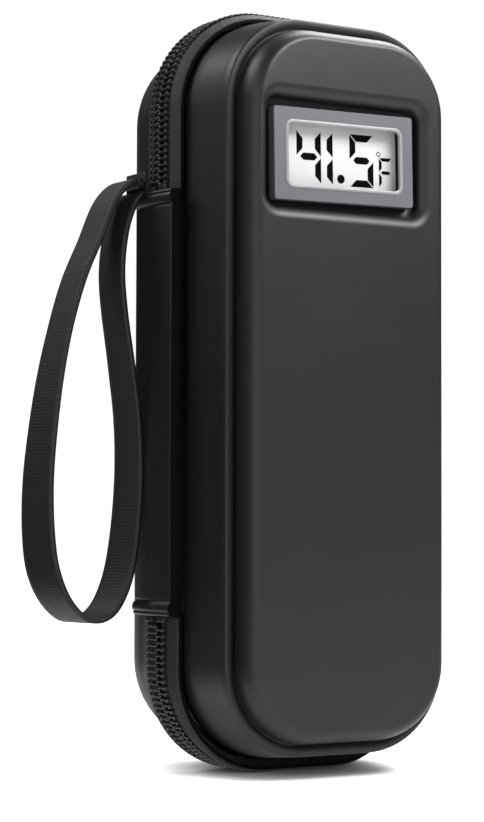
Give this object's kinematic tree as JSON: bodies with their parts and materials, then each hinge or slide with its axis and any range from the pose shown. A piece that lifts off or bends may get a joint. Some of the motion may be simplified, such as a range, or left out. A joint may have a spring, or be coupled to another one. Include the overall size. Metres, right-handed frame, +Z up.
{
  "type": "insulin cooling case",
  "caption": "Upright zip-round hard case with a temperature display in its lid, a fabric spine and a wrist strap; it holds gel packs and pens.",
  "frame": {"origin": "on the floor, under the middle of the whole object, wrist strap and sliders included; the case itself is centred at x = 0.0135 m, y = 0.0018 m", "axes": "+Z up, as it stands in the picture; -Y is the display side; -X is the spine and strap side"},
  "size_m": [0.12, 0.0654, 0.21],
  "materials": {
    "moulded_shell": "satin black moulded EVA with a coated skin",
    "spine_leatherette": "smooth black leatherette",
    "webbing": "black ribbed webbing",
    "zip_cloth": "black woven zip tape",
    "zip_nylon": "black nylon coil",
    "zip_metal": "black painted zinc",
    "bezel_plastic": "satin dark grey",
    "housing_plastic": "fine textured black",
    "lens_clear": "clear moulded window",
    "lcd_glass": "grey liquid-crystal glass with black numbers",
    "board_laminate": "green solder mask",
    "contact_rubber": "dark elastomer",
    "button_rubber": "matt black rubber",
    "contact_metal": "plated spring leaf",
    "cell_steel": "bright nickel-plated steel",
    "sensor_steel": "drawn steel cap",
    "foil_lining": "foil-faced foam cloth",
    "gel_film": "blue gel in a glossy film",
    "elastic": "black elastic and net"
  },
  "bodies": {
    "back": {"back_shell": "moulded_shell", "back_lining": "foil_lining", "pen_panel": "foil_lining", "back_zip_tape": "zip_cloth", "back_zip_teeth": "zip_nylon", "back_upper_stop": "zip_metal", "back_lower_stop": "zip_metal", "spine_back_leaf": "spine_leatherette", "strap_anchor": "webbing", "back_gel_pack": "gel_film", "lower_pen_band": "elastic", "upper_pen_band": "elastic"},
    "lid": {"front_shell": "moulded_shell", "front_lining": "foil_lining", "front_zip_tape": "zip_cloth", "front_zip_teeth": "zip_nylon", "front_upper_stop": "zip_metal", "front_lower_stop": "zip_metal", "spine_front_leaf": "spine_leatherette", "front_gel_pack": "gel_film", "net_pocket": "elastic", "display_bezel": "bezel_plastic", "display_lens": "lens_clear", "lcd_panel": "lcd_glass", "lower_contact_strip": "contact_rubber", "upper_contact_strip": "contact_rubber", "circuit_board": "board_laminate", "thermometer_housing": "housing_plastic", "cell_contact": "contact_metal", "left_button_cell": "cell_steel", "right_button_cell": "cell_steel", "temperature_sensor": "sensor_steel"},
    "strap": {"wrist_strap": "webbing"},
    "upper_slider": {"upper_slider": "zip_metal"},
    "lower_slider": {"lower_slider": "zip_metal"},
    "upper_pull": {"upper_pull": "zip_metal"},
    "lower_pull": {"lower_pull": "zip_metal"},
    "unit_button": {"unit_button": "button_rubber"},
    "battery_cover": {"battery_cover": "housing_plastic"}
  },
  "joints": [
    {"name": "lid_hinge", "type": "hinge", "parent": "back", "child": "lid", "pos_m": [-0.02878, 0.00175, 0.105], "axis": [0, 0, -1], "range_deg": [0, 100]},
    {"name": "strap_swing", "type": "hinge", "parent": "back", "child": "strap", "pos_m": [-0.02908, 0.01125, 0.1612], "axis": [0, 1, 0], "range_deg": [0, 85]},
    {"name": "upper_slider_travel", "type": "slide", "parent": "back", "child": "upper_slider", "axis": [0, 0, 1], "range_m": [0, 0.06]},
    {"name": "lower_slider_travel", "type": "slide", "parent": "back", "child": "lower_slider", "axis": [0, 0, -1], "range_m": [0, 0.06]},
    {"name": "upper_pull_swing", "type": "hinge", "parent": "upper_slider", "child": "upper_pull", "pos_m": [0.05792, 0.00175, 0.11207], "axis": [0, 1, 0], "range_deg": [0, 120]},
    {"name": "lower_pull_swing", "type": "hinge", "parent": "lower_slider", "child": "lower_pull", "pos_m": [0.05792, 0.00175, 0.09792], "axis": [0, -1, 0], "range_deg": [0, 120]},
    {"name": "unit_button_press", "type": "slide", "parent": "lid", "child": "unit_button", "axis": [0, -1, 0], "range_m": [0, 0.0008], "stiffness_N_per_m": 250},
    {"name": "battery_cover_lift", "type": "slide", "parent": "lid", "child": "battery_cover", "axis": [0, 1, 0], "range_m": [0, 0.008]}
  ]
}
